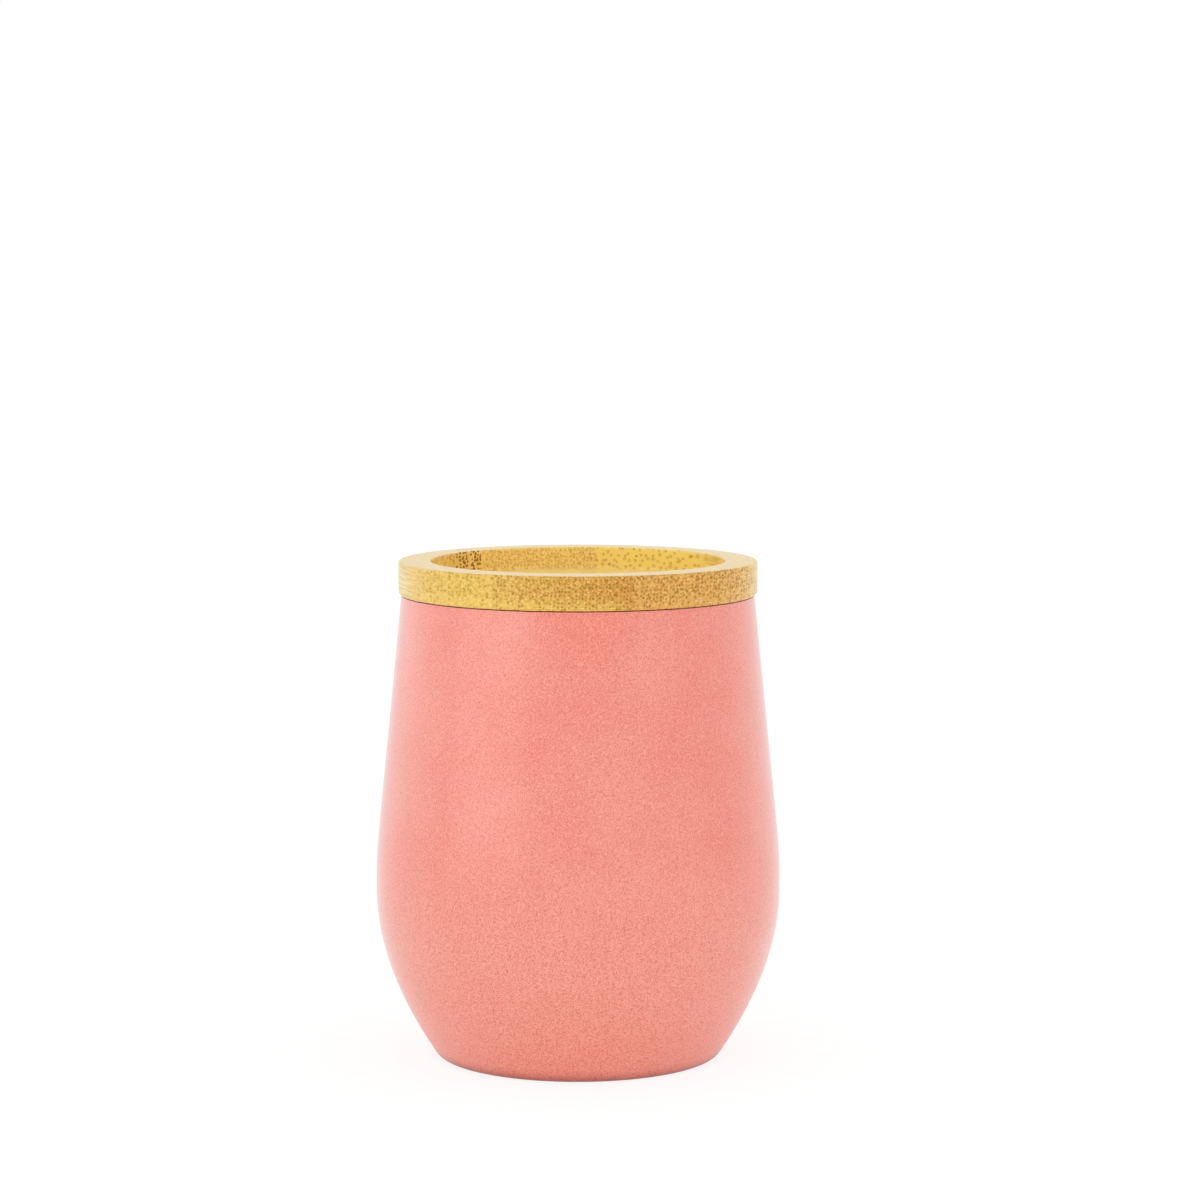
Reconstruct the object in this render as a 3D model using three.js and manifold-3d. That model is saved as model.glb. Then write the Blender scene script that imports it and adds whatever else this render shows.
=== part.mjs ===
// Insulated tumbler: a double-walled vacuum steel cup with a turned bamboo lid pressed into its mouth.
// Millimetres, +Z up. The origin is the middle of the foot, on the surface that the cup stands on.

import * as THREE from "three";
import { mergeVertices } from "three/addons/utils/BufferGeometryUtils.js";
import Module from "manifold-3d";

// Body outline, measured on the outer surface, with leans in degrees from the vertical
const BELLY_RADIUS = 43;
const BELLY_HEIGHT = 36.3;
const MOUTH_RADIUS = 37.4;
const MOUTH_LEAN = 5.67;
const SHELL_HEIGHT = 98.55;
const FOOT_RADIUS = 29.95;
const FOOT_LEAN = 34.5;
const FOOT_ROUND = 1.2;

// How far each wall curve keeps its end direction, as a share of the height that the curve spans
const FOOT_FULLNESS = 0.636;
const BELLY_FULLNESS_BELOW = 0.116;
const BELLY_FULLNESS_ABOVE = 0.16;
const MOUTH_FULLNESS = 0.91;

// Steel walls and the foil between them
const SHELL_WALL = 0.5;
const LINER_WALL = 0.4;
const VACUUM_GAP = 2.5;
const LIP_WIDTH = 2.4;
const NECK_BLEND = 5;
const LINER_CORNER = 6;
const FOIL_GAP = 0.2;
const FOIL_THICKNESS = 0.12;
const FOIL_MARGIN = 4;

// Foot ring and base cover
const FOOT_RING_WIDTH = 3.6;
const FOOT_INNER_EDGE = 0.4;
const BASE_RECESS = 1.3;
const BASE_THICKNESS = 0.5;
const BASE_SKIRT = 1.4;
const BASE_RIM_WIDTH = 4.8;
const BASE_STEP_WIDTH = 1.2;
const BASE_STEP_HEIGHT = 0.6;

// Vacuum end disc, its seal and its getter
const DISC_THICKNESS = 0.6;
const DISC_CLEARANCE = 1.2;
const DIMPLE_RADIUS = 5;
const DIMPLE_DEPTH = 1.4;
const DIMPLE_SLOPE = 0.8;
const EVACUATION_HOLE = 1.5;
const BEAD_MARGIN = 0.8;
const BEAD_BULGE = 0.7;
const GETTER_CUP_RADIUS = 5;
const GETTER_CUP_HEIGHT = 2.4;
const GETTER_CUP_WALL = 0.3;
const GETTER_SPACING = 3;
const GETTER_HEADROOM = 1.6;
const PELLET_HEIGHT = 1.6;

// Bamboo lid
const LID_OVERHANG = 0.6;
const LID_RIM_WIDTH = 6.8;
const LID_RIM_HEIGHT = 7.2;
const LID_TOP_ROUND = 0.6;
const LID_LOWER_ROUND = 1;
const RECESS_DEPTH = 4.8;
const RECESS_EDGE = 0.4;
const RECESS_FILLET = 0.8;
const SPIGOT_DEPTH = 3.6;

// Plug, gasket and cover under the bamboo
const PLUG_WALL = 2.1;
const PLUG_FLOOR = 2.5;
const PLUG_SKIRT = 4.1;
const PLUG_LEAD = 1;
const PLUG_GAP = 1.6;
const BAND_MARGIN = 2;
const GROOVE_DROP = 3.5;
const GROOVE_DEPTH = 1.6;
const GROOVE_HEIGHT = 5.4;
const GASKET_BAND = 1.2;
const FIN_COUNT = 2;
const FIN_ROOT = 1.3;
const FIN_TIP = 0.6;
const COVER_THICKNESS = 0.8;
const COVER_LEDGE = 2;
const COVER_INSET = 0.3;

// Screws that hold the plug to the bamboo
const SCREW_COUNT = 3;
const SCREW_RADIUS = 1.4;
const SCREW_COVER = 2;
const SCREW_POINT = 1.2;
const SCREW_EDGE = 6.9;
const SCREW_HEAD_RADIUS = 2.8;
const SCREW_HEAD_HEIGHT = 1.8;
const SCREW_SLOT_WIDTH = 0.8;
const SCREW_SLOT_LENGTH = 3.4;
const SCREW_SLOT_DEPTH = 0.9;

// Clearances between pieces that fit together, that rest on each other, and under the lid
const FIT_GAP = 0.15;
const SEAT_GAP = 0.05;
const LID_SEAT_GAP = 0.15;

// Fineness of the round shapes
const ROUND_STEPS = 48;
const SMALL_STEPS = 16;
const WALL_STEPS = 7;
const CORNER_STEPS = 3;
const LEAST_STEP = 1.5;

// Heights of the mouth and the lid
const lipTop = SHELL_HEIGHT;
const lidSeat = lipTop + LID_SEAT_GAP;
const lidTop = lidSeat + LID_RIM_HEIGHT;
const recessFloor = lidTop - RECESS_DEPTH;
const spigotBottom = lidSeat - SPIGOT_DEPTH;
const screwHoleTop = recessFloor - SCREW_COVER;
const plugTop = lidSeat - SEAT_GAP;
const plugPocket = spigotBottom - SEAT_GAP;
const plugUnder = plugPocket - PLUG_FLOOR;
const grooveTop = lidSeat - GROOVE_DROP;
const grooveBottom = grooveTop - GROOVE_HEIGHT;
const plugBottom = grooveBottom - PLUG_SKIRT;
const coverBottom = plugBottom + COVER_INSET;
const coverLedge = coverBottom + COVER_THICKNESS + SEAT_GAP;
const bandBottom = plugBottom - BAND_MARGIN;
const neckBottom = bandBottom - NECK_BLEND;

// Heights of the foot and what closes the vacuum space
const baseTop = BASE_RECESS + BASE_THICKNESS;
const footTop = baseTop + BASE_SKIRT;
const discBottom = footTop + DISC_CLEARANCE;
const discTop = discBottom + DISC_THICKNESS;
const dimpleTop = discBottom + DIMPLE_DEPTH;
const getterBottom = discTop + SEAT_GAP;
const linerBottom = getterBottom + GETTER_CUP_HEIGHT + GETTER_HEADROOM;
const linerFloor = linerBottom + LINER_WALL;

// How far each wall lies inside the body's outline
const linerInset = SHELL_WALL + VACUUM_GAP;
const cupInset = linerInset + LINER_WALL;

// Radii that the pieces share
const boreRadius = MOUTH_RADIUS - LIP_WIDTH;
const footInner = FOOT_RADIUS - FOOT_ROUND - FOOT_RING_WIDTH;
const lidRadius = MOUTH_RADIUS + LID_OVERHANG;
const recessRadius = lidRadius - LID_RIM_WIDTH;
const plugRadius = boreRadius - PLUG_GAP;
const grooveRadius = plugRadius - GROOVE_DEPTH;
const pocketRadius = grooveRadius - PLUG_WALL;
const spigotRadius = pocketRadius - FIT_GAP;
const cavityRadius = pocketRadius - COVER_LEDGE;
const screwCircle = cavityRadius - SCREW_EDGE - SCREW_HEAD_RADIUS;
const dimpleOuter = DIMPLE_RADIUS + DIMPLE_SLOPE;
const getterCircle = dimpleOuter + DISC_THICKNESS + GETTER_SPACING + GETTER_CUP_RADIUS;

const wasm = await Module();
wasm.setup();

// A point of a turned profile, by its radius and height
const at = (radius, height) => new THREE.Vector2(radius, height);

// A point at a distance from another, in a direction that leans outwards from the vertical
function leaning(from, lean, distance) {
  const angle = THREE.MathUtils.degToRad(lean);
  return at(from.x + distance * Math.sin(angle), from.y + distance * Math.cos(angle));
}

// The body's outline as two curves that meet at the belly, then straight on past the mouth for the inset walls
function bodyOutline() {
  const foot = at(FOOT_RADIUS, 0);
  const belly = at(BELLY_RADIUS, BELLY_HEIGHT);
  const mouth = at(MOUTH_RADIUS, SHELL_HEIGHT);
  const rise = SHELL_HEIGHT - BELLY_HEIGHT;
  const lower = new THREE.CubicBezierCurve(
    foot,
    leaning(foot, FOOT_LEAN, FOOT_FULLNESS * BELLY_HEIGHT),
    leaning(belly, 0, -BELLY_FULLNESS_BELOW * BELLY_HEIGHT),
    belly,
  );
  const upper = new THREE.CubicBezierCurve(
    belly,
    leaning(belly, 0, BELLY_FULLNESS_ABOVE * rise),
    leaning(mouth, -MOUTH_LEAN, -MOUTH_FULLNESS * rise),
    mouth,
  );
  return [lower, upper, new THREE.LineCurve(mouth, leaning(mouth, -MOUTH_LEAN, cupInset))];
}

const outline = bodyOutline();

// A point of the wall that lies a distance inside the outline: station 1.5 is halfway along the second curve
function wallPoint(station, inset) {
  const index = Math.min(Math.floor(station), outline.length - 1);
  const point = outline[index].getPoint(station - index);
  const along = outline[index].getTangent(station - index);
  return at(point.x - inset * along.y, point.y + inset * along.x);
}

// The same wall's point at a height, found by halving
function wallAtHeight(height, inset) {
  const halvings = 40;
  let below = 0;
  let above = outline.length;
  for (let i = 0; i < halvings; i += 1) {
    const middle = (below + above) / 2;
    if (wallPoint(middle, inset).y < height) below = middle;
    else above = middle;
  }
  return wallPoint(below, inset);
}

// The stretch of that wall between two heights, upwards, with stations that every wall shares
function wallStretch(inset, low, high) {
  const points = [wallAtHeight(low, inset)];
  for (let i = 1; i < outline.length * WALL_STEPS; i += 1) {
    const point = wallPoint(i / WALL_STEPS, inset);
    if (point.y > low + LEAST_STEP && point.y < high - LEAST_STEP) points.push(point);
  }
  points.push(wallAtHeight(high, inset));
  return points;
}

// A rounded corner from one point to another, bending round the corner point
function bend(from, corner, to) {
  return new THREE.QuadraticBezierCurve(from, corner, to).getPoints(CORNER_STEPS);
}

// A solid turned about the Z axis from an anticlockwise profile that starts and ends on the axis
function turned(profile, steps = ROUND_STEPS) {
  return new THREE.LatheGeometry(profile, steps).rotateX(Math.PI / 2);
}

// A ring turned about the Z axis from an anticlockwise profile that closes on itself
function turnedRing(profile) {
  return turned([...profile, profile[0]]);
}

function toSolid(geometry) {
  const bare = geometry.clone();
  bare.deleteAttribute("normal");
  bare.deleteAttribute("uv");
  const merged = mergeVertices(bare);
  return new wasm.Manifold(new wasm.Mesh({
    numProp: 3,
    vertProperties: Float32Array.from(merged.attributes.position.array),
    triVerts: Uint32Array.from(merged.index.array),
  }));
}

function toGeometry(solid) {
  const mesh = solid.getMesh();
  const geometry = new THREE.BufferGeometry();
  geometry.setAttribute("position", new THREE.BufferAttribute(mesh.vertProperties, mesh.numProp));
  geometry.setIndex(new THREE.BufferAttribute(mesh.triVerts, 1));
  geometry.computeVertexNormals();
  return geometry;
}

function cut(geometry, cutters) {
  const cutAway = (solid, cutter) => solid.subtract(toSolid(cutter));
  return toGeometry(cutters.reduce(cutAway, toSolid(geometry)));
}

const coral = new THREE.MeshStandardMaterial({ color: 0xf19686, roughness: 0.55, metalness: 0 });
const steel = new THREE.MeshStandardMaterial({ color: 0xc9c9c6, roughness: 0.32, metalness: 1 });
const foil = new THREE.MeshStandardMaterial({ color: 0xd6d6d8, roughness: 0.2, metalness: 1 });
const beadGlass = new THREE.MeshStandardMaterial({ color: 0x8fa39a, roughness: 0.15, metalness: 0 });
const getterMetal = new THREE.MeshStandardMaterial({ color: 0x6a6660, roughness: 0.8, metalness: 0.3 });
const bamboo = new THREE.MeshStandardMaterial({ color: 0xdcb064, roughness: 0.6, metalness: 0 });
const plastic = new THREE.MeshStandardMaterial({ color: 0xefece4, roughness: 0.45, metalness: 0 });
const silicone = new THREE.MeshStandardMaterial({ color: 0xe6e2d8, roughness: 0.6, metalness: 0 });

// The painted outer wall, turned in at the foot and up again round the base cover
function outerShell() {
  const footFlat = at(FOOT_RADIUS - FOOT_ROUND, 0);
  const footCorner = at(FOOT_RADIUS, 0);
  return turnedRing([
    at(footInner, FOOT_INNER_EDGE),
    at(footInner + FOOT_INNER_EDGE, 0),
    ...bend(footFlat, footCorner, wallAtHeight(FOOT_ROUND, 0)),
    ...wallStretch(0, FOOT_ROUND, SHELL_HEIGHT).slice(1),
    ...wallStretch(SHELL_WALL, SHELL_WALL, SHELL_HEIGHT).reverse(),
    at(footInner + SHELL_WALL, SHELL_WALL),
    at(footInner + SHELL_WALL, footTop),
    at(footInner, footTop),
  ]);
}

// One skin of the liner, from the middle of its bottom up to the mouth band
function linerSkin(inset, bottom, bandRadius) {
  const corner = wallAtHeight(bottom, inset);
  const cornerEnd = bottom + LINER_CORNER;
  return [
    at(0, bottom),
    ...bend(at(corner.x - LINER_CORNER, bottom), corner, wallAtHeight(cornerEnd, inset)),
    ...wallStretch(inset, cornerEnd, neckBottom).slice(1),
    at(bandRadius, bandBottom),
  ];
}

// The steel cup that holds the drink, its lip turned out to meet the shell's inner face
function innerLiner() {
  const lipRadius = wallAtHeight(lipTop, SHELL_WALL).x - FIT_GAP;
  const bandOuter = boreRadius + LINER_WALL;
  return turned([
    ...linerSkin(linerInset, linerBottom, bandOuter),
    at(bandOuter, lipTop - LINER_WALL),
    at(lipRadius, lipTop - LINER_WALL),
    at(lipRadius, lipTop),
    at(boreRadius, lipTop),
    ...linerSkin(cupInset, linerFloor, boreRadius).reverse(),
  ]);
}

// The foil sleeve wrapped round the liner inside the vacuum space
function reflectiveFoil() {
  const inset = linerInset - FOIL_GAP;
  const low = linerBottom + LINER_CORNER + FOIL_MARGIN;
  const high = neckBottom - FOIL_MARGIN;
  return turnedRing([
    ...wallStretch(inset - FOIL_THICKNESS, low, high),
    ...wallStretch(inset, low, high).reverse(),
  ]);
}

// The end disc of the vacuum space, with a dimple pressed up round the evacuation hole
function vacuumBottom() {
  const rimInset = SHELL_WALL + FIT_GAP;
  return turnedRing([
    at(EVACUATION_HOLE, dimpleTop),
    at(DIMPLE_RADIUS, dimpleTop),
    at(dimpleOuter, discBottom),
    wallAtHeight(discBottom, rimInset),
    wallAtHeight(discTop, rimInset),
    at(dimpleOuter + DISC_THICKNESS, discTop),
    at(DIMPLE_RADIUS + DISC_THICKNESS, dimpleTop + DISC_THICKNESS),
    at(EVACUATION_HOLE, dimpleTop + DISC_THICKNESS),
  ]);
}

// The glass bead melted into the dimple, with its stem in the evacuation hole
function sealingBead() {
  const radius = DIMPLE_RADIUS - BEAD_MARGIN;
  const stem = EVACUATION_HOLE - FIT_GAP;
  const top = dimpleTop - SEAT_GAP;
  const edge = (top + discBottom) / 2;
  const stemTop = dimpleTop + DISC_THICKNESS / 2;
  return turned([
    at(0, edge - BEAD_BULGE),
    ...bend(at(stem, edge - BEAD_BULGE), at(radius, edge - BEAD_BULGE), at(radius, edge)),
    at(radius, top),
    at(stem, top),
    at(stem, stemTop),
    at(0, stemTop),
  ], SMALL_STEPS);
}

// The steel pan that holds the getter
function getterCup() {
  const inside = GETTER_CUP_RADIUS - GETTER_CUP_WALL;
  return turned([
    at(0, 0),
    at(GETTER_CUP_RADIUS, 0),
    at(GETTER_CUP_RADIUS, GETTER_CUP_HEIGHT),
    at(inside, GETTER_CUP_HEIGHT),
    at(inside, GETTER_CUP_WALL),
    at(0, GETTER_CUP_WALL),
  ], SMALL_STEPS);
}

// The getter tablet in its pan
function getterPellet() {
  const radius = GETTER_CUP_RADIUS - GETTER_CUP_WALL - FIT_GAP;
  const bottom = GETTER_CUP_WALL + SEAT_GAP;
  const top = bottom + PELLET_HEIGHT;
  return turned([at(0, bottom), at(radius, bottom), at(radius, top), at(0, top)], SMALL_STEPS);
}

// The bottom pan pressed into the foot, with its middle stepped up
function baseCover() {
  const radius = footInner - FIT_GAP;
  const stepOuter = radius - BASE_RIM_WIDTH;
  const stepInner = stepOuter - BASE_STEP_WIDTH;
  return turned([
    at(0, BASE_RECESS + BASE_STEP_HEIGHT),
    at(stepInner, BASE_RECESS + BASE_STEP_HEIGHT),
    at(stepOuter, BASE_RECESS),
    at(radius, BASE_RECESS),
    at(radius, footTop),
    at(radius - BASE_THICKNESS, footTop),
    at(radius - BASE_THICKNESS, baseTop),
    at(stepOuter, baseTop),
    at(stepInner, baseTop + BASE_STEP_HEIGHT),
    at(0, baseTop + BASE_STEP_HEIGHT),
  ]);
}

// The screws' places on their circle
function screwPlaces() {
  return Array.from({ length: SCREW_COUNT }, (_, i) => {
    const angle = (i / SCREW_COUNT) * 2 * Math.PI;
    return at(screwCircle * Math.cos(angle), screwCircle * Math.sin(angle));
  });
}

// Cutters for the screws' holes between two heights
function screwHoles(bottom, top) {
  const radius = SCREW_RADIUS + FIT_GAP;
  return screwPlaces().map(({ x, y }) => (
    new THREE.CylinderGeometry(radius, radius, top - bottom, SMALL_STEPS)
      .rotateX(Math.PI / 2)
      .translate(x, y, (top + bottom) / 2)
  ));
}

// The turned bamboo: a rim round a shallow recess, and a spigot below that fills the plug's pocket
function bambooLid() {
  const body = turned([
    at(0, spigotBottom),
    at(spigotRadius, spigotBottom),
    at(spigotRadius, lidSeat),
    ...bend(
      at(lidRadius - LID_LOWER_ROUND, lidSeat),
      at(lidRadius, lidSeat),
      at(lidRadius, lidSeat + LID_LOWER_ROUND),
    ),
    ...bend(
      at(lidRadius, lidTop - LID_TOP_ROUND),
      at(lidRadius, lidTop),
      at(lidRadius - LID_TOP_ROUND, lidTop),
    ),
    at(recessRadius + RECESS_EDGE, lidTop),
    at(recessRadius, lidTop - RECESS_EDGE),
    ...bend(
      at(recessRadius, recessFloor + RECESS_FILLET),
      at(recessRadius, recessFloor),
      at(recessRadius - RECESS_FILLET, recessFloor),
    ),
    at(0, recessFloor),
  ]);
  return cut(body, screwHoles(spigotBottom - FIT_GAP, screwHoleTop));
}

// The plug: a pocket above for the spigot, a groove outside for the gasket, a cavity below for the screws
function lidPlug() {
  const body = turned([
    at(0, plugUnder),
    at(cavityRadius, plugUnder),
    at(cavityRadius, coverLedge),
    at(pocketRadius, coverLedge),
    at(pocketRadius, plugBottom),
    at(plugRadius - PLUG_LEAD, plugBottom),
    at(plugRadius, plugBottom + PLUG_LEAD),
    at(plugRadius, grooveBottom),
    at(grooveRadius, grooveBottom),
    at(grooveRadius, grooveTop),
    at(plugRadius, grooveTop),
    at(plugRadius, plugTop),
    at(pocketRadius, plugTop),
    at(pocketRadius, plugPocket),
    at(0, plugPocket),
  ]);
  return cut(body, screwHoles(plugUnder - FIT_GAP, plugPocket + FIT_GAP));
}

// The silicone ring in the groove, with fins that reach out to the mouth band
function lidGasket() {
  const inner = grooveRadius + FIT_GAP;
  const outer = inner + GASKET_BAND;
  const tip = boreRadius - FIT_GAP;
  const bottom = grooveBottom + SEAT_GAP;
  const top = grooveTop - SEAT_GAP;
  const pitch = (top - bottom) / FIN_COUNT;
  const fins = [];
  for (let i = 0; i < FIN_COUNT; i += 1) {
    const middle = bottom + pitch * (i + 1 / 2);
    fins.push(
      at(outer, middle - FIN_ROOT / 2),
      at(tip, middle - FIN_TIP / 2),
      at(tip, middle + FIN_TIP / 2),
      at(outer, middle + FIN_ROOT / 2),
    );
  }
  return turnedRing([at(inner, bottom), at(outer, bottom), ...fins, at(outer, top), at(inner, top)]);
}

// The steel disc snapped into the plug's underside
function plugCover() {
  const radius = pocketRadius - FIT_GAP;
  const top = coverBottom + COVER_THICKNESS;
  return turned([at(0, coverBottom), at(radius, coverBottom), at(radius, top), at(0, top)]);
}

// A pan-head screw with a crossed slot, standing head down under the plug's floor
function lidScrew() {
  const headTop = plugUnder - SEAT_GAP;
  const headBottom = headTop - SCREW_HEAD_HEIGHT;
  const tip = screwHoleTop - FIT_GAP;
  const blank = turned([
    at(0, headBottom),
    at(SCREW_HEAD_RADIUS, headBottom),
    at(SCREW_HEAD_RADIUS, headTop),
    at(SCREW_RADIUS, headTop),
    at(SCREW_RADIUS, tip - SCREW_POINT),
    at(0, tip),
  ], SMALL_STEPS);
  const slots = [0, Math.PI / 2].map((angle) => (
    new THREE.BoxGeometry(SCREW_SLOT_LENGTH, SCREW_SLOT_WIDTH, 2 * SCREW_SLOT_DEPTH)
      .rotateZ(angle)
      .translate(0, 0, headBottom)
  ));
  return cut(blank, slots);
}

const group = new THREE.Group();

function place(name, geometry, material, position = [0, 0, 0]) {
  const mesh = new THREE.Mesh(geometry, material);
  mesh.name = name;
  mesh.position.set(...position);
  group.add(mesh);
}

place("outer_shell", outerShell(), coral);
place("inner_liner", innerLiner(), steel);
place("reflective_foil", reflectiveFoil(), foil);
place("vacuum_bottom", vacuumBottom(), steel);
place("sealing_bead", sealingBead(), beadGlass);
place("getter_cup", getterCup(), steel, [getterCircle, 0, getterBottom]);
place("getter_pellet", getterPellet(), getterMetal, [getterCircle, 0, getterBottom]);
place("base_cover", baseCover(), steel);
place("bamboo_lid", bambooLid(), bamboo);
place("lid_plug", lidPlug(), plastic);
place("lid_gasket", lidGasket(), silicone);
place("plug_cover", plugCover(), steel);
screwPlaces().forEach(({ x, y }, i) => {
  place(`lid_screw_${i + 1}`, lidScrew(), steel, [x, y, 0]);
});

export default group;
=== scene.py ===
# Insulated tumbler: smooth turned surfaces, finishes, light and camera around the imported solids.
# Profiles are in millimetres, as radius and height, and are turned about the Z axis into metres.
import math
from types import SimpleNamespace

import bpy
from mathutils import Color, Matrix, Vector


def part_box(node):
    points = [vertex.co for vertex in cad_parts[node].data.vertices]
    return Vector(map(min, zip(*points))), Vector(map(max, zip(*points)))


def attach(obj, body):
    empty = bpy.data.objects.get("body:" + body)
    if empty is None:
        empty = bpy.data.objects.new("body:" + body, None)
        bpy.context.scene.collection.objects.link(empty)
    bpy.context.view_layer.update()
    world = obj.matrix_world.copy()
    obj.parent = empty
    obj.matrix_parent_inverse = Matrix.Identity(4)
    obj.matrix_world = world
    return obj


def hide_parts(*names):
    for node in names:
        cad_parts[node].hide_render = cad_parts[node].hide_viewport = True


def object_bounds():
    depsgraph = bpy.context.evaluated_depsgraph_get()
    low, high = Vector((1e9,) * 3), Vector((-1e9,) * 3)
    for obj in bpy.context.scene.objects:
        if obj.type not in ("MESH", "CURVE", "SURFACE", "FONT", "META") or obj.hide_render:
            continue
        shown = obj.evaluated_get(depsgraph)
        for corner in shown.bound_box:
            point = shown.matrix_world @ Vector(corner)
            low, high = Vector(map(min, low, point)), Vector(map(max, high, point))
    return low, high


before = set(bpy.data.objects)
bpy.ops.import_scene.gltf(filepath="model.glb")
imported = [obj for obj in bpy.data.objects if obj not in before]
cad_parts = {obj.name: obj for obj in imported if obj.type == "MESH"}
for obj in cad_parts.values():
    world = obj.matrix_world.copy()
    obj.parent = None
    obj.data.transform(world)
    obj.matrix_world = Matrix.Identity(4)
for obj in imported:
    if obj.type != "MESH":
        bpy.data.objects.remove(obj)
cad_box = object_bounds()

MM = 0.001
SCREWS = ("lid_screw_1", "lid_screw_2", "lid_screw_3")

# Fineness of the turned surfaces
TURN_STEPS = 192
WALL_STEPS = 28
CORNER_STEPS = 6
HOLE_STEPS = 32
HALVINGS = 40

# Body outline: leans in degrees from the vertical, fullness as a share of the height that a curve spans
BELLY_HEIGHT = 36.3
MOUTH_LEAN = 5.67
FOOT_RADIUS = 29.95
FOOT_LEAN = 34.5
FOOT_ROUND = 1.2
FOOT_FULLNESS = 0.636
BELLY_FULLNESS_BELOW = 0.116
BELLY_FULLNESS_ABOVE = 0.16
MOUTH_FULLNESS = 0.91

# Steel walls, foot and base pan
SHELL_WALL = 0.5
LINER_WALL = 0.4
VACUUM_GAP = 2.5
LIP_WIDTH = 2.4
NECK_BLEND = 5
LINER_CORNER = 6
BAND_MARGIN = 2
FOOT_INNER_EDGE = 0.4
BASE_THICKNESS = 0.5
BASE_RIM_WIDTH = 4.8
BASE_STEP_WIDTH = 1.2
BASE_STEP_HEIGHT = 0.6

# Bamboo lid
LID_OVERHANG = 0.6
LID_RIM_WIDTH = 6.8
LID_RIM_HEIGHT = 7.2
LID_TOP_ROUND = 0.6
LID_LOWER_ROUND = 1.0
RECESS_DEPTH = 4.8
RECESS_EDGE = 0.4
RECESS_FILLET = 0.8

# Plug, gasket and cover
PLUG_WALL = 2.1
PLUG_FLOOR = 2.5
PLUG_LEAD = 1
GROOVE_DROP = 3.5
GROOVE_DEPTH = 1.6
GROOVE_HEIGHT = 5.4
GASKET_BAND = 1.2
FIN_COUNT = 2
FIN_ROOT = 1.3
FIN_TIP = 0.6
COVER_LEDGE = 2
SCREW_HOLE_RADIUS = 1.55
SCREW_COVER = 2

# Clearances, small rounds of edges that would otherwise be sharp, and how much of a side a round may take
FIT_GAP = 0.15
SEAT_GAP = 0.05
SHEET_EDGE = 0.12
MOULD_EDGE = 0.3
SOFT_EDGE = 0.2
ROUND_SHARE = 1 / 3


def radius_of(node):
    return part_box(node)[1].x / MM


def bottom_of(node):
    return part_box(node)[0].z / MM


def top_of(node):
    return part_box(node)[1].z / MM


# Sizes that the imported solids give
belly_radius = radius_of("outer_shell")
shell_height = top_of("outer_shell")
lid_radius = radius_of("bamboo_lid")
lid_top = top_of("bamboo_lid")
spigot_bottom = bottom_of("bamboo_lid")
plug_radius = radius_of("lid_plug")
plug_bottom = bottom_of("lid_plug")
plug_top = top_of("lid_plug")
gasket_tip = radius_of("lid_gasket")
gasket_bottom = bottom_of("lid_gasket")
gasket_top = top_of("lid_gasket")
cover_radius = radius_of("plug_cover")
cover_bottom = bottom_of("plug_cover")
cover_top = top_of("plug_cover")
liner_bottom = bottom_of("inner_liner")
base_radius = radius_of("base_cover")
base_recess = bottom_of("base_cover")
foot_top = top_of("base_cover")

# Sizes that follow from them
mouth_radius = lid_radius - LID_OVERHANG
bore_radius = mouth_radius - LIP_WIDTH
lid_seat = lid_top - LID_RIM_HEIGHT
recess_floor = lid_top - RECESS_DEPTH
recess_radius = lid_radius - LID_RIM_WIDTH
groove_radius = plug_radius - GROOVE_DEPTH
pocket_radius = groove_radius - PLUG_WALL
spigot_radius = pocket_radius - FIT_GAP
cavity_radius = pocket_radius - COVER_LEDGE
groove_top = lid_seat - GROOVE_DROP
groove_bottom = groove_top - GROOVE_HEIGHT
plug_pocket = spigot_bottom - SEAT_GAP
plug_under = plug_pocket - PLUG_FLOOR
cover_ledge = cover_top + SEAT_GAP
band_bottom = plug_bottom - BAND_MARGIN
neck_bottom = band_bottom - NECK_BLEND
foot_inner = base_radius + FIT_GAP
liner_inset = SHELL_WALL + VACUUM_GAP
cup_inset = liner_inset + LINER_WALL


# Profiles


def leaning(start, lean, distance):
    """A point at a distance from another, in a direction that leans outwards from the vertical."""
    angle = math.radians(lean)
    return (start[0] + distance * math.sin(angle), start[1] + distance * math.cos(angle))


def body_curves():
    """The body's outline as control points: below the belly, above it, and straight past the mouth."""
    foot = (FOOT_RADIUS, 0)
    belly = (belly_radius, BELLY_HEIGHT)
    mouth = (mouth_radius, shell_height)
    rise = shell_height - BELLY_HEIGHT
    lower = [
        foot,
        leaning(foot, FOOT_LEAN, FOOT_FULLNESS * BELLY_HEIGHT),
        leaning(belly, 0, -BELLY_FULLNESS_BELOW * BELLY_HEIGHT),
        belly,
    ]
    upper = [
        belly,
        leaning(belly, 0, BELLY_FULLNESS_ABOVE * rise),
        leaning(mouth, -MOUTH_LEAN, -MOUTH_FULLNESS * rise),
        mouth,
    ]
    return [lower, upper, [mouth, leaning(mouth, -MOUTH_LEAN, cup_inset)]]


body = body_curves()


def on_curve(controls, share):
    """A Bezier curve's point at a share of its run, and the direction there."""
    points = [Vector(p) for p in controls]
    while len(points) > 2:
        points = [a.lerp(b, share) for a, b in zip(points, points[1:])]
    return points[0].lerp(points[1], share), (points[1] - points[0]).normalized()


def wall_point(station, inset):
    """A point of the wall a distance inside the outline: station 1.5 is halfway up the second curve."""
    index = min(int(station), len(body) - 1)
    point, along = on_curve(body[index], station - index)
    return (point.x - inset * along.y, point.y + inset * along.x)


def wall_at(height, inset):
    """The same wall's point at a height, found by halving."""
    below, above = 0, len(body)
    for _ in range(HALVINGS):
        middle = (below + above) / 2
        if wall_point(middle, inset)[1] < height:
            below = middle
        else:
            above = middle
    return wall_point(below, inset)


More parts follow.
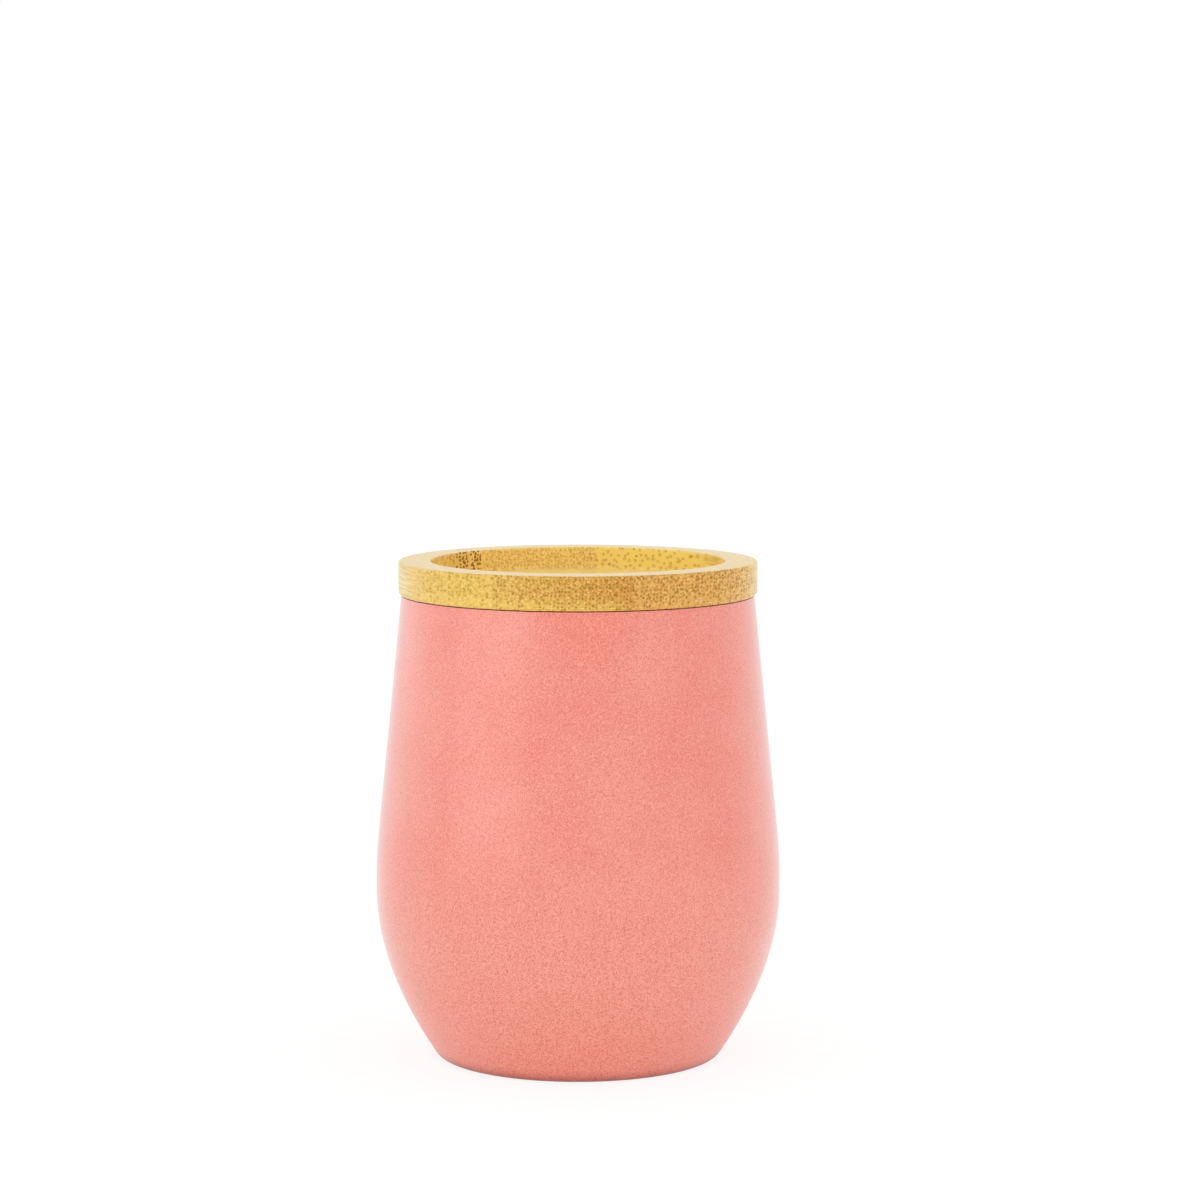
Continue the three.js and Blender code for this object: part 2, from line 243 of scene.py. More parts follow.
def wall(inset, low, high):
    """The stretch of that wall between two heights, upwards."""
    stations = [i / WALL_STEPS for i in range(1, len(body) * WALL_STEPS)]
    inner = [wall_point(station, inset) for station in stations]
    return [wall_at(low, inset), *(p for p in inner if low < p[1] < high), wall_at(high, inset)]


def bend(start, corner, end):
    """A rounded corner from one point to another, bending round the corner point."""
    shares = [i / CORNER_STEPS for i in range(CORNER_STEPS + 1)]
    return [tuple(on_curve([start, corner, end], share)[0]) for share in shares]


def softened(corners, edge):
    """A profile with its corners rounded over a short way, apart from its two ends."""
    points = [corners[0]]
    for before, corner, after in zip(corners, corners[1:], corners[2:]):
        place = Vector(corner)
        ways = [Vector(before) - place, Vector(after) - place]
        ends = [place + way * min(edge / way.length, ROUND_SHARE) for way in ways]
        points += bend(ends[0], place, ends[1])
    return [*points, corners[-1]]


def softened_ring(corners, edge):
    """A profile that closes on itself, with every corner rounded over a short way."""
    return softened([corners[-1], *corners, corners[0]], edge)[1:-1]


def drum(radius, low, high):
    """The profile of a plain drum."""
    return [(0, low), (radius, low), (radius, high), (0, high)]


# Turned meshes


def mesh_from(name, points, faces):
    mesh = bpy.data.meshes.new(name)
    mesh.from_pydata(points, [], faces)
    mesh.shade_smooth()
    piece = bpy.data.objects.new(name, mesh)
    bpy.context.scene.collection.objects.link(piece)
    return piece


def ring_at(radius, height, sides):
    """Points round the axis, or a single point on it."""
    angles = [2 * math.pi * k / sides for k in range(sides if radius > 0 else 1)]
    return [(radius * math.cos(a) * MM, radius * math.sin(a) * MM, height * MM) for a in angles]


def turned(name, profile, closed=False, sides=TURN_STEPS):
    """A piece turned about Z from an anticlockwise profile, closed or with both ends on the axis."""
    points, rings, faces = [], [], []
    for radius, height in profile:
        ring = ring_at(radius, height, sides)
        rings.append(range(len(points), len(points) + len(ring)))
        points += ring
    following = [*rings[1:], rings[0]] if closed else rings[1:]
    for low, high in zip(rings, following):
        for k in range(sides):
            n = (k + 1) % sides
            corners = [low[k % len(low)], low[n % len(low)], high[n % len(high)], high[k % len(high)]]
            faces.append(list(dict.fromkeys(corners)))
    return mesh_from(name, points, faces)


def even_shading(piece):
    """Shades flat faces flat and rounds smoothly, by weighing each corner's faces by their area."""
    modifier = piece.modifiers.new("even_shading", "WEIGHTED_NORMAL")
    modifier.mode = "FACE_AREA"
    return piece


def drilled(piece, low, high):
    """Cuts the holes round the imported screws, turned so that no corner lies on a spoke of the piece."""
    for node in SCREWS:
        lowest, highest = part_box(node)
        middle = (lowest + highest) / 2
        cutter = turned("cutter", drum(SCREW_HOLE_RADIUS, low, high), sides=HOLE_STEPS)
        cutter.location = (middle.x, middle.y, 0)
        cutter.rotation_euler.z = math.pi / HOLE_STEPS
        modifier = piece.modifiers.new("hole", "BOOLEAN")
        modifier.operation = "DIFFERENCE"
        modifier.object = cutter
        bpy.context.view_layer.update()
        cut = piece.evaluated_get(bpy.context.evaluated_depsgraph_get())
        piece.data = bpy.data.meshes.new_from_object(cut)
        piece.modifiers.clear()
        bpy.data.objects.remove(cutter)
    return piece


# Pieces


def coral_shell():
    """The painted outer wall, turned in at the foot and up again round the base pan."""
    flat = (FOOT_RADIUS - FOOT_ROUND, 0)
    foot_edge = bend((foot_inner, FOOT_INNER_EDGE), (foot_inner, 0), (foot_inner + FOOT_INNER_EDGE, 0))
    foot_round = bend(flat, (FOOT_RADIUS, 0), wall_at(FOOT_ROUND, 0))
    outer = wall(0, FOOT_ROUND, shell_height - SOFT_EDGE)[1:-1]
    rim = softened(
        [
            wall_at(shell_height - SOFT_EDGE, 0),
            wall_at(shell_height, 0),
            wall_at(shell_height, SHELL_WALL),
            wall_at(shell_height - SOFT_EDGE, SHELL_WALL),
        ],
        SOFT_EDGE,
    )
    inner = wall(SHELL_WALL, SHELL_WALL, shell_height - SOFT_EDGE)[-2::-1]
    skirt = [
        (foot_inner + SHELL_WALL, SHELL_WALL),
        (foot_inner + SHELL_WALL, foot_top),
        (foot_inner, foot_top),
    ]
    return turned("coral_shell", [*foot_edge, *foot_round, *outer, *rim, *inner, *skirt], closed=True)


def liner_skin(inset, bottom, band_radius):
    """One skin of the liner, from the middle of its bottom up to the mouth band."""
    corner = wall_at(bottom, inset)
    corner_end = bottom + LINER_CORNER
    round_in = bend((corner[0] - LINER_CORNER, bottom), corner, wall_at(corner_end, inset))
    side = wall(inset, corner_end, neck_bottom)[1:-1]
    neck = wall_at(neck_bottom, inset)
    band = [(band_radius, band_bottom), (band_radius, plug_bottom)]
    shoulder = softened([side[-1], neck, *band], BAND_MARGIN)
    return [(0, bottom), *round_in, *side[:-1], *shoulder]


def steel_liner():
    """The steel cup that holds the drink, its lip turned out to meet the shell's inner face."""
    lip_radius = wall_at(shell_height, SHELL_WALL)[0] - FIT_GAP
    band_outer = bore_radius + LINER_WALL
    under = liner_skin(liner_inset, liner_bottom, band_outer)
    inside = liner_skin(cup_inset, liner_bottom + LINER_WALL, bore_radius)[::-1]
    lip = softened(
        [
            under[-1],
            (band_outer, shell_height - LINER_WALL),
            (lip_radius, shell_height - LINER_WALL),
            (lip_radius, shell_height),
            (bore_radius, shell_height),
            inside[0],
        ],
        SHEET_EDGE,
    )
    return turned("steel_liner", [*under[:-1], *lip, *inside[1:]])


def base_pan():
    """The bottom pan pressed into the foot, with its middle stepped up."""
    step_outer = base_radius - BASE_RIM_WIDTH
    step_inner = step_outer - BASE_STEP_WIDTH
    base_top = base_recess + BASE_THICKNESS
    corners = [
        (0, base_recess + BASE_STEP_HEIGHT),
        (step_inner, base_recess + BASE_STEP_HEIGHT),
        (step_outer, base_recess),
        (base_radius, base_recess),
        (base_radius, foot_top),
        (base_radius - BASE_THICKNESS, foot_top),
        (base_radius - BASE_THICKNESS, base_top),
        (step_outer, base_top),
        (step_inner, base_top + BASE_STEP_HEIGHT),
        (0, base_top + BASE_STEP_HEIGHT),
    ]
    return turned("base_pan", softened(corners, MOULD_EDGE))


def bamboo_top():
    """The turned bamboo: a rim round a shallow recess, and a spigot that fills the plug's pocket."""
    spigot = softened(
        [
            (0, spigot_bottom),
            (spigot_radius, spigot_bottom),
            (spigot_radius, lid_seat),
            (lid_radius - LID_LOWER_ROUND, lid_seat),
        ],
        SOFT_EDGE,
    )
    lower_edge = bend(
        spigot[-1],
        (lid_radius, lid_seat),
        (lid_radius, lid_seat + LID_LOWER_ROUND),
    )
    upper_edge = bend(
        (lid_radius, lid_top - LID_TOP_ROUND),
        (lid_radius, lid_top),
        (lid_radius - LID_TOP_ROUND, lid_top),
    )
    recess_edge = bend(
        (recess_radius + RECESS_EDGE, lid_top),
        (recess_radius, lid_top),
        (recess_radius, lid_top - RECESS_EDGE),
    )
    recess_corner = bend(
        (recess_radius, recess_floor + RECESS_FILLET),
        (recess_radius, recess_floor),
        (recess_radius - RECESS_FILLET, recess_floor),
    )
    rim = [*spigot[:-1], *lower_edge, *upper_edge, *recess_edge, *recess_corner]
    piece = turned("bamboo_top", [*rim, (0, recess_floor)])
    return drilled(piece, spigot_bottom - FIT_GAP, recess_floor - SCREW_COVER)


def plug_body():
    """The moulded plug: a pocket for the bamboo, a groove for the gasket and a cavity below."""
    corners = [
        (0, plug_under),
        (cavity_radius, plug_under),
        (cavity_radius, cover_ledge),
        (pocket_radius, cover_ledge),
        (pocket_radius, plug_bottom),
        (plug_radius - PLUG_LEAD, plug_bottom),
        (plug_radius, plug_bottom + PLUG_LEAD),
        (plug_radius, groove_bottom),
        (groove_radius, groove_bottom),
        (groove_radius, groove_top),
        (plug_radius, groove_top),
        (plug_radius, plug_top),
        (pocket_radius, plug_top),
        (pocket_radius, plug_pocket),
        (0, plug_pocket),
    ]
    piece = turned("plug_body", softened(corners, MOULD_EDGE))
    return drilled(piece, plug_under - FIT_GAP, plug_pocket + FIT_GAP)


def gasket_ring():
    """The silicone ring in the groove, with round-tipped fins that reach out to the mouth band."""
    inner = groove_radius + FIT_GAP
    outer = inner + GASKET_BAND
    pitch = (gasket_top - gasket_bottom) / FIN_COUNT
    fins = []
    for i in range(FIN_COUNT):
        middle = gasket_bottom + pitch * (i + 1 / 2)
        fins += [
            (outer, middle - FIN_ROOT / 2),
            (gasket_tip, middle - FIN_TIP / 2),
            (gasket_tip, middle + FIN_TIP / 2),
            (outer, middle + FIN_ROOT / 2),
        ]
    below = [(inner, gasket_bottom), (outer, gasket_bottom)]
    above = [(outer, gasket_top), (inner, gasket_top)]
    return turned("gasket_ring", softened_ring([*below, *fins, *above], SOFT_EDGE), closed=True)


def cover_disc():
    """The steel disc snapped into the plug's underside."""
    return turned("cover_disc", softened(drum(cover_radius, cover_bottom, cover_top), SOFT_EDGE))


# Material helpers

LEVELS = 255
WHITE = (1, 1, 1, 1)

# Where most values of a noise texture lie
NOISE_LOW = 0.3
NOISE_MIDDLE = 0.5
NOISE_HIGH = 0.7


def colour(red, green, blue):
    """A linear colour with full alpha from the 0 to 255 levels that it shows as."""
    shown = Color((red / LEVELS, green / LEVELS, blue / LEVELS))
    return (*shown.from_srgb_to_scene_linear(), 1)


def grey(level):
    return (level, level, level, 1)


def each_way(size):
    return (size, size, size)


def shaded(tone, factor):
    """A tone made darker or brighter, up to white."""
    return (*[min(1.0, factor * channel) for channel in tone[:3]], 1)


def per_mm(size):
    """The scale of a texture whose features measure this many millimetres."""
    return 1 / (size * MM)


def new_material(name):
    material = bpy.data.materials.new(name)
    material.use_nodes = True
    tree = material.node_tree
    return material, tree, tree.nodes["Principled BSDF"]


def feed(tree, node, values):
    """Links outputs to a node's sockets, or sets a socket's own value where it is the same all over."""
    for name, value in values.items():
        if isinstance(value, bpy.types.NodeSocket):
            tree.links.new(value, node.inputs[name])
        else:
            node.inputs[name].default_value = value


def add(tree, kind, values=None, **settings):
    """A new node with its settings made and its sockets fed."""
    node = tree.nodes.new("ShaderNode" + kind)
    for name, setting in settings.items():
        setattr(node, name, setting)
    feed(tree, node, values or {})
    return node


def calculate(tree, operation, *numbers):
    return add(tree, "Math", dict(enumerate(numbers)), operation=operation).outputs[0]


def calculate_vector(tree, operation, *vectors):
    return add(tree, "VectorMath", dict(enumerate(vectors)), operation=operation).outputs[0]


def product(tree, first, *others):
    """Several numbers multiplied together."""
    for other in others:
        first = calculate(tree, "MULTIPLY", first, other)
    return first


def mix(tree, share, first, second):
    """A number between two others."""
    return add(tree, "Mix", {0: share, 2: first, 3: second}).outputs[0]


def blend(tree, share, first, second):
    """A colour between two others."""
    return add(tree, "Mix", {0: share, 6: first, 7: second}, data_type="RGBA").outputs[2]


def between(tree, value, low, high, to_low=0.0, to_high=1.0):
    """A number carried from one range to another, held at the ends."""
    names = ("Value", "From Min", "From Max", "To Min", "To Max")
    return add(tree, "MapRange", dict(zip(names, (value, low, high, to_low, to_high)))).outputs[0]


def over_noise(tree, value, to_low=0.0, to_high=1.0):
    """A noise texture's usual range carried to another range."""
    return between(tree, value, NOISE_LOW, NOISE_HIGH, to_low, to_high)


def split(tree, vector):
    return add(tree, "SeparateXYZ", {0: vector}).outputs


def place_in_piece(tree):
    """The place on the piece in metres, which moves with the piece."""
    return add(tree, "TexCoord").outputs["Object"]


def from_axis(tree, place):
    """How far a place lies from the axis, and its height."""
    across, along, height = split(tree, place)
    squares = [product(tree, way, way) for way in (across, along)]
    return calculate(tree, "SQRT", calculate(tree, "ADD", *squares)), height


def noise(tree, place, size, detail=2.0, roughness=0.5, output="Fac"):
    values = {"Vector": place, "Scale": per_mm(size), "Detail": detail, "Roughness": roughness}
    return add(tree, "TexNoise", values).outputs[output]


def bump(tree, shader, height, depth):
    """Raises and sinks the shading by a height of up to this many millimetres."""
    relief = add(tree, "Bump", {"Height": height, "Distance": depth * MM})
    feed(tree, shader, {"Normal": relief.outputs[0]})


# Coral powder coat: roughness follows the grain, specular the painted shade at the foot's edge, coat and
# sheen the height
CLOUD_SIZE = 17
CLOUD_SHIFT = (407, 161, 65)
CORAL_DEEP = colour(242, 122, 101)
CORAL_PALE = colour(244, 143, 123)
# Painted light: paler coral towards the foot, standing in for light bounced up from the floor, and the
# heights it spans
CORAL_BOUNCE_LIT = colour(246, 157, 131)
BOUNCE_LIT_SHARE = 0.6
BOUNCE_LIT_TOP = 50
BOUNCE_LIT_BOTTOM = 26
GRAIN = {"size": 0.29, "detail": 1.0}
GRAIN_SPREAD = 0.235
LOW_GRAIN_SPREAD = 0.17
GRAIN_RELIEF = 0.02
CORAL_DARK_GRAIN = colour(224, 96, 78)
CORAL_PALE_GRAIN = colour(255, 162, 145)
# Painted contact shadow at the foot's edge: its tone, the heights it spans, and the size and least
# strength of its patches
CORAL_FOOT_SHADE = colour(150, 58, 46)
FOOT_SHADE_LOW = 0.03
FOOT_SHADE_HIGH = 3.4
FOOT_SHADE_PATCH_SIZE = 3.0
LEAST_FOOT_SHADE = 0.75
DULL_TOP = 26
DULL_BOTTOM = 4
CORAL_ROUGHNESS = (0.38, 0.5)
CORAL_IOR = 1.7
CORAL_SPECULAR = (0.5, 0.15)
CORAL_COAT = (0.9, 0.3)
CORAL_COAT_ROUGHNESS = 0.22
CORAL_SHEEN = (0.4, 0.0)
CORAL_SHEEN_ROUGHNESS = 0.25


def painted_foot_shade(tree, place):
    """Painted contact shadow: how far the foot's round edge, just above its flat ring, is darkened and
    dulled, in uneven patches.
    """
    height = split(tree, place)[2]
    above_flat = between(tree, height, FOOT_SHADE_LOW * MM, 2 * FOOT_SHADE_LOW * MM)
    near_foot = between(tree, height, FOOT_SHADE_HIGH * MM, 0.0)
    shade_patches = over_noise(tree, noise(tree, place, FOOT_SHADE_PATCH_SIZE), LEAST_FOOT_SHADE, 1.0)
    return product(tree, above_flat, near_foot, near_foot, shade_patches)


def coral_tone(tree, place, grain):
    """Clouds of deeper and paler coral, with dark and pale grains in them, and paler towards the foot as
    painted light bounced up from the floor.
    """
    shift = tuple(way * MM for way in CLOUD_SHIFT)
    clouds = over_noise(tree, noise(tree, calculate_vector(tree, "ADD", place, shift), CLOUD_SIZE))
    # Painted floor light: the coral turns paler towards the foot
    low = between(tree, split(tree, place)[2], BOUNCE_LIT_TOP * MM, BOUNCE_LIT_BOTTOM * MM, 0.0, BOUNCE_LIT_SHARE)
    ground = blend(tree, low, blend(tree, clouds, CORAL_DEEP, CORAL_PALE), CORAL_BOUNCE_LIT)
    spread = between(tree, low, 0.0, BOUNCE_LIT_SHARE, GRAIN_SPREAD, LOW_GRAIN_SPREAD)
    dark = between(tree, grain, NOISE_MIDDLE, calculate(tree, "SUBTRACT", NOISE_MIDDLE, spread))
    pale = between(tree, grain, NOISE_MIDDLE, calculate(tree, "ADD", NOISE_MIDDLE, spread))
    darkened = blend(tree, dark, ground, CORAL_DARK_GRAIN)
    return blend(tree, pale, darkened, CORAL_PALE_GRAIN)


def coral_coat():
    """Satin powder coat with a fine sandy grain and a slight orange peel, duller towards the foot, and
    darkened at the foot's edge as a painted contact shadow.
    """
    material, tree, shader = new_material("coral_coat")
    place = place_in_piece(tree)
    height = split(tree, place)[2]
    grain = noise(tree, place, **GRAIN)
    foot_shade = painted_foot_shade(tree, place)
    outside_foot_shade = calculate(tree, "SUBTRACT", 1.0, foot_shade)
    coat = between(tree, height, DULL_TOP * MM, DULL_BOTTOM * MM, *CORAL_COAT)
    sheen = between(tree, height, DULL_TOP * MM, DULL_BOTTOM * MM, *CORAL_SHEEN)
    values = {
        # The foot's edge is darkened as a painted contact shadow, which also dulls the gloss there
        "Base Color": blend(tree, foot_shade, coral_tone(tree, place, grain), CORAL_FOOT_SHADE),
        "Roughness": over_noise(tree, grain, *CORAL_ROUGHNESS),
        "IOR": CORAL_IOR,
        "Specular IOR Level": mix(tree, foot_shade, *CORAL_SPECULAR),
        "Coat Weight": product(tree, coat, outside_foot_shade),
        "Coat Roughness": CORAL_COAT_ROUGHNESS,
        "Sheen Weight": product(tree, sheen, outside_foot_shade),
        "Sheen Roughness": CORAL_SHEEN_ROUGHNESS,
    }
    feed(tree, shader, values)
    bump(tree, shader, grain, GRAIN_RELIEF)
    return material


# Turned steel: fine marks that darken and brighten it, and slow patches of more and less polish
MARK_SPACING = 0.35
MARK_SHADES = (0.8, 1.12)
MARK_RELIEF = 0.0015
POLISH_SIZE = 9
POLISH_SPREAD = 0.06
UNEVEN_LOW = 0.7
UNEVEN_HIGH = 1.3
STEEL_ANISOTROPY = 0.4


def turned_steel(name, tone, roughness, metallic):
    """Bare stainless steel with fine turning marks, which run round the axis."""
    material, tree, shader = new_material(name)
    place = place_in_piece(tree)
    radius, height = from_axis(tree, place)
    marks = noise(tree, add(tree, "CombineXYZ", {0: radius, 1: height}).outputs[0], MARK_SPACING)
    uneven = calculate(tree, "ADD", marks, noise(tree, place, POLISH_SIZE))
    polish = (roughness - POLISH_SPREAD, roughness + POLISH_SPREAD)
    values = {
        "Base Color": blend(tree, marks, *[shaded(tone, shade) for shade in MARK_SHADES]),
        "Roughness": between(tree, uneven, UNEVEN_LOW, UNEVEN_HIGH, *polish),
        "Metallic": metallic,
        "Anisotropic": STEEL_ANISOTROPY,
    }
    feed(tree, shader, values)
    bump(tree, shader, marks, MARK_RELIEF)
    return material


# Plain grained materials


def grained(name, tones, roughness, relief, grain, clouds=None, fixed=None):
    """A material whose gloss and relief follow a grain, and its tone the same grain or slower clouds."""
    material, tree, shader = new_material(name)
    place = place_in_piece(tree)
    fine = noise(tree, place, **grain)
    slow = noise(tree, place, **clouds) if clouds else fine
    values = {
        "Base Color": blend(tree, slow, *tones),
        "Roughness": over_noise(tree, fine, *roughness),
        **(fixed or {}),
    }
    feed(tree, shader, values)
    bump(tree, shader, fine, relief)
    return material


def moulded_plastic():
    """Cream moulded plastic with a faint sparked texture."""
    return grained(
        "plug_plastic",
        tones=(colour(224, 219, 208), colour(231, 227, 217)),
        roughness=(0.36, 0.48),
        relief=0.012,
        grain={"size": 0.35},
        clouds={"size": 12},
    )


def milky_silicone():
    """Soft milky silicone with a dusty sheen."""
    return grained(
        "silicone",
        tones=(colour(204, 200, 190), colour(214, 210, 201)),
        roughness=(0.5, 0.66),
        relief=0.008,
        grain={"size": 0.25},
        clouds={"size": 6},
        fixed={"Sheen Weight": 0.15},
    )


def bright_foil():
    """Crinkled aluminium foil."""
    return grained(
        "foil",
        tones=(colour(205, 206, 208), colour(228, 229, 231)),
        roughness=(0.14, 0.28),
        relief=0.15,
        grain={"size": 4, "detail": 3.0, "roughness": 0.6},
        fixed={"Metallic": 1.0},
    )


def melted_glass():
    """Greenish sealing glass with faint swirls."""
    return grained(
        "bead_glass",
        tones=(colour(132, 154, 144), colour(160, 180, 170)),
        roughness=(0.06, 0.18),
        relief=0.05,
        grain={"size": 2, "detail": 3.0},
    )


def sintered_getter():
    """Dark porous sintered metal."""
    return grained(
        "getter",
        tones=(colour(86, 82, 76), colour(132, 126, 118)),
        roughness=(0.65, 0.9),
        relief=0.06,
        grain={"size": 0.3, "detail": 4.0, "roughness": 0.7},
        fixed={"Metallic": 0.3},
    )


# Bamboo: the fibres run from front to back, turned a little, so that front and back show their ends
FIBRE_TURN = 6.5
FIBRE_STRETCH = 40.0
FIBRE_WIDTH = 5.0
FIBRES = {"size": 0.42, "detail": 3.0, "roughness": 0.6}
FIBRE_WANDER = 1.2
WANDER_LENGTH = 14
BACK_BLEND = 12
END_GRAIN_RANGE = (0.22, 0.5)
LEVEL_RANGE = (0.3, 0.8)
LEVEL_EVENNESS = 0.75
BAMBOO_ROUGHNESS = (0.32, 0.42)
BAMBOO_IOR = 1.3
BAMBOO_SPECULAR = (0.5, 0.05)
BAMBOO_COAT = (0.4, 0.0)
BAMBOO_COAT_ROUGHNESS = 0.22
BAMBOO_RELIEF = 0.03
DULL_BUNDLE = 0.8

# Glued strips from left to right, each with its tones and its density of bundles at its two edges
GLUE_LINE = 0.16
GLUE_TONE = colour(246, 214, 132)
STRIP_EDGES = [-48, -21.3, 7.3, 31, 48]
FRONT_TONES = [
    (colour(240, 202, 94), colour(238, 195, 86)),
    (colour(235, 188, 84), colour(214, 146, 53)),
    (colour(228, 167, 81), colour(232, 173, 86)),
    (colour(238, 186, 94), colour(242, 196, 100)),
]
FRONT_DENSITY = [(0.1, 0.75), (0.85, 1.0), (1.0, 1.0), (0.9, 0.7)]
BACK_TONES = [
    (colour(234, 188, 108), colour(238, 194, 106)),
    (colour(251, 210, 118), colour(253, 216, 122)),
    (colour(253, 220, 114), colour(255, 226, 118)),
    # Partly painted light: the last strip's back keeps its own tone, made paler to offset the shade on
    # the recess's right end wall
    (colour(255, 236, 140), colour(255, 240, 150)),
]
BACK_DENSITY = [(0.3, 0.6), (0.8, 1.0), (0.0, 0.0), (0.0, 0.0)]
BACK_OUTER_TONE = colour(222, 172, 82)
BACK_OUTER_SHARE = 0.5

# End grain: pale pith low on the left strips, and stains and flecks, which are fewer among coarse bundles
PITH_TONE = colour(248, 212, 104)
PITH_SHARE = 0.6
PITH_TOP = 0.4
PITH_END = 8
PITH_FULL = 5
PITH_SPECKS = {"size": 0.36, "detail": 1.0}
STAIN_TONE = colour(214, 156, 60)
STAIN_SHARES = (0.5, 0.15)
FLECK_TONE = colour(255, 226, 130)
FLECK_SHARES = (0.6, 0.25)

# Long grain: streaks on the upright sides, and evener tones on the rim's top and the recess's floor
LONG_GRAIN_TONE = colour(247, 226, 148)
LONG_STREAK_TONE = colour(229, 182, 74)
STREAK_RANGE = (0.4, 0.6)
TOP_TONE = colour(237, 205, 120)
# Painted light: the recess's floor is paler than the rim's top, to offset the shade that falls in the
# recess
RECESS_LIGHTENED_TONE = colour(253, 222, 136)
RECESS_TO_TOP = (0.4, 0.6)

# Vessel bundles, drawn as dots: solid is a share of the radius, and palest is the least strength
BUNDLE_TONE = colour(138, 80, 4)
BUNDLE_SCATTER = 0.75
BUNDLE_TALLNESS = 1.1
BUNDLE_SIZES = (0.8, 1.25)
FINE_BUNDLES = {"spacing": 0.7, "radius": 0.215, "solid": 0.25, "palest": 0.5}
COARSE_BUNDLES = {"spacing": 1.22, "radius": 0.31, "solid": 0.6, "palest": 0.7}
DARK_BUNDLES = {"spacing": 0.7, "radius": 0.25, "solid": 0.7, "palest": 0.8}
FRAY = {"size": 0.4, "detail": 1.0}
FRAY_REACH = 0.3
CROWD_RANGE = (0.05, 0.45)
LEAST_CROWD = 0.45
SPARSE_DENSITY = 0.4
SPARSE_DEPTH = 0.4
FRONT_DEPTH = 0.8
BACK_DEPTH = 0.5
COARSE_START = 4
COARSE_FULL = 7
COARSE_MOTTLE = {"size": 0.24, "detail": 1.0}
MOTTLE_RANGE = (0.4, 0.6)
COARSE_DEPTHS = (0.2, 0.68)
DARK_LEFT = 3.9
DARK_RIGHT = 2.7
CLEAR_OF_GLUE = 3 * GLUE_LINE
LONG_GRAIN_DOTS = 0.06


def along_fibres(tree, vector, kind):
    """A place or a normal, turned so that its second number runs along the fibres."""
    turn = (0, 0, -math.radians(FIBRE_TURN))
    return add(tree, "Mapping", {"Vector": vector, "Rotation": turn}, vector_type=kind).outputs[0]


def fibre_section(tree, across, along, up):
    """Where a fibre crosses the strips' section, with a slow wander along its length."""
    run = add(tree, "CombineXYZ", {1: along}).outputs[0]
    drift = noise(tree, run, WANDER_LENGTH, output="Color")
    wander = calculate_vector(tree, "MULTIPLY", drift, each_way(FIBRE_WANDER * MM))
    lowered = calculate(tree, "DIVIDE", up, BUNDLE_TALLNESS)
    flat = add(tree, "CombineXYZ", {0: across, 1: lowered}).outputs[0]
    return calculate_vector(tree, "ADD", flat, wander)


def frayed(tree, section):
    """The same place with a fine jitter, which makes the bundles' outlines uneven."""
    jitter = noise(tree, section, **FRAY, output="Color")
    centred = calculate_vector(tree, "SUBTRACT", jitter, each_way(NOISE_MIDDLE))
    offset = calculate_vector(tree, "MULTIPLY", centred, each_way(FRAY_REACH * MM))
    return calculate_vector(tree, "ADD", section, offset)


def place_in_wood(tree):
    """A point's place among the strips, and how far it lies back, up and among the coarse bundles."""
    place = along_fibres(tree, place_in_piece(tree), "POINT")
    across, along, up = split(tree, place)
    section = fibre_section(tree, across, along, up)
    back = between(tree, along, -BACK_BLEND * MM, BACK_BLEND * MM)
    return SimpleNamespace(
        place=place,
        across=across,
        section=section,
        uneven_section=frayed(tree, section),
        back=back,
        high=between(tree, up, lid_seat * MM, lid_top * MM),
        coarse=product(tree, back, between(tree, across, COARSE_START * MM, COARSE_FULL * MM)),
    )


def strip_ramp(tree, across, tones, densities):
    """The strips' tones side by side, with a pale glue line at each edge and the density as alpha."""
    first, last = STRIP_EDGES[0], STRIP_EDGES[-1]
    stops = []
    for left, right, tone, density in zip(STRIP_EDGES, STRIP_EDGES[1:], tones, densities):
        stops += [
            (left, (*GLUE_TONE[:3], 0)),
            (left + GLUE_LINE, (*tone[0][:3], density[0])),
            (right - GLUE_LINE, (*tone[1][:3], density[1])),
        ]
    node = add(tree, "ValToRGB", {0: between(tree, across, first * MM, last * MM)})
    ramp = node.color_ramp
    while len(ramp.elements) < len(stops):
        ramp.elements.new(1.0)
    for element, (place, tone) in zip(ramp.elements, stops):
        element.position = (place - first) / (last - first)
        element.color = tone
    return node.outputs["Color"], node.outputs["Alpha"]


def strips(tree, wood):
    """The strips' tone, and the density of their bundles at the front and at the back."""
    front_tone, front_density = strip_ramp(tree, wood.across, FRONT_TONES, FRONT_DENSITY)
    back_tone, back_density = strip_ramp(tree, wood.across, BACK_TONES, BACK_DENSITY)
    radius = from_axis(tree, wood.place)[0]
    outer = between(tree, radius, recess_radius * MM, lid_radius * MM, 0.0, BACK_OUTER_SHARE)
    tone = blend(tree, wood.back, front_tone, blend(tree, outer, back_tone, BACK_OUTER_TONE))
    return tone, front_density, back_density


def bundles(tree, section, shown, spacing, radius, solid, palest):
    """Dots on the strips' cross section, of which a share shows, each with its own size and strength."""
    values = {"Vector": section, "Scale": per_mm(spacing), "Randomness": BUNDLE_SCATTER}
    cells = add(tree, "TexVoronoi", values, voronoi_dimensions="2D").outputs
    luck = add(tree, "SeparateColor", {0: cells["Color"]}).outputs
    here = calculate(tree, "LESS_THAN", luck[0], shown)
    reach = mix(tree, luck[1], *[size * radius / spacing for size in BUNDLE_SIZES])
    dot = between(tree, calculate(tree, "DIVIDE", cells["Distance"], reach), 2 - solid, solid)
    return product(tree, here, dot, mix(tree, luck[2], palest, 1.0))


